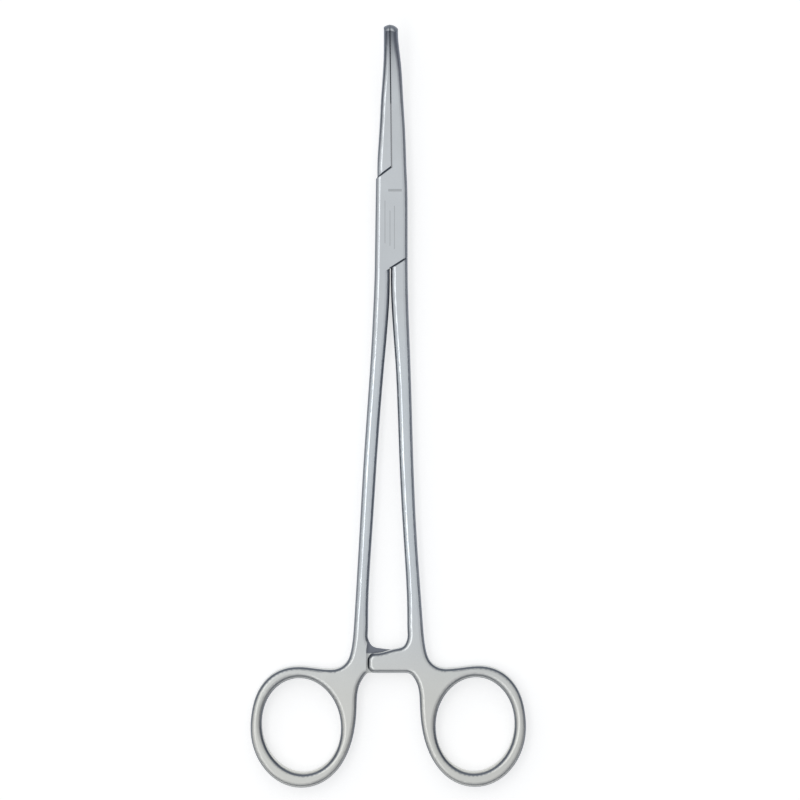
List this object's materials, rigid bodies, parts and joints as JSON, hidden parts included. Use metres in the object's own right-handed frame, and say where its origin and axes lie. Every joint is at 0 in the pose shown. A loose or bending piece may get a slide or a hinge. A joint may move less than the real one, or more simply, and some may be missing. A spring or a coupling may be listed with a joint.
{
  "type": "tonsil forceps",
  "caption": "Curved box-lock tonsil forceps: slim serrated jaws, long shanks with a ratchet between them and oval finger rings.",
  "frame": {"origin": "on the pivot axis, at the flat back face of the box lock", "axes": "+Y from the pivot towards the jaw tips, +X to the right as the front is seen, +Z from the back face out of the front, along the pivot"},
  "size_m": [0.0688, 0.1902, 0.0117],
  "materials": {
    "satin_steel": "satin stainless steel, finely matted on the flats and brighter on the rounded edges",
    "pin_steel": "satin stainless steel, ground flush with the box"
  },
  "bodies": {
    "box_side": {"box_half": "satin_steel", "pivot_pin": "pin_steel"},
    "tenon_side": {"tenon_half": "satin_steel"}
  },
  "joints": [
    {"name": "pivot", "type": "hinge", "parent": "box_side", "child": "tenon_side", "pos_m": [0, 0, 0.0025], "axis": [0, 0, 1], "range_deg": [0, 60]}
  ]
}
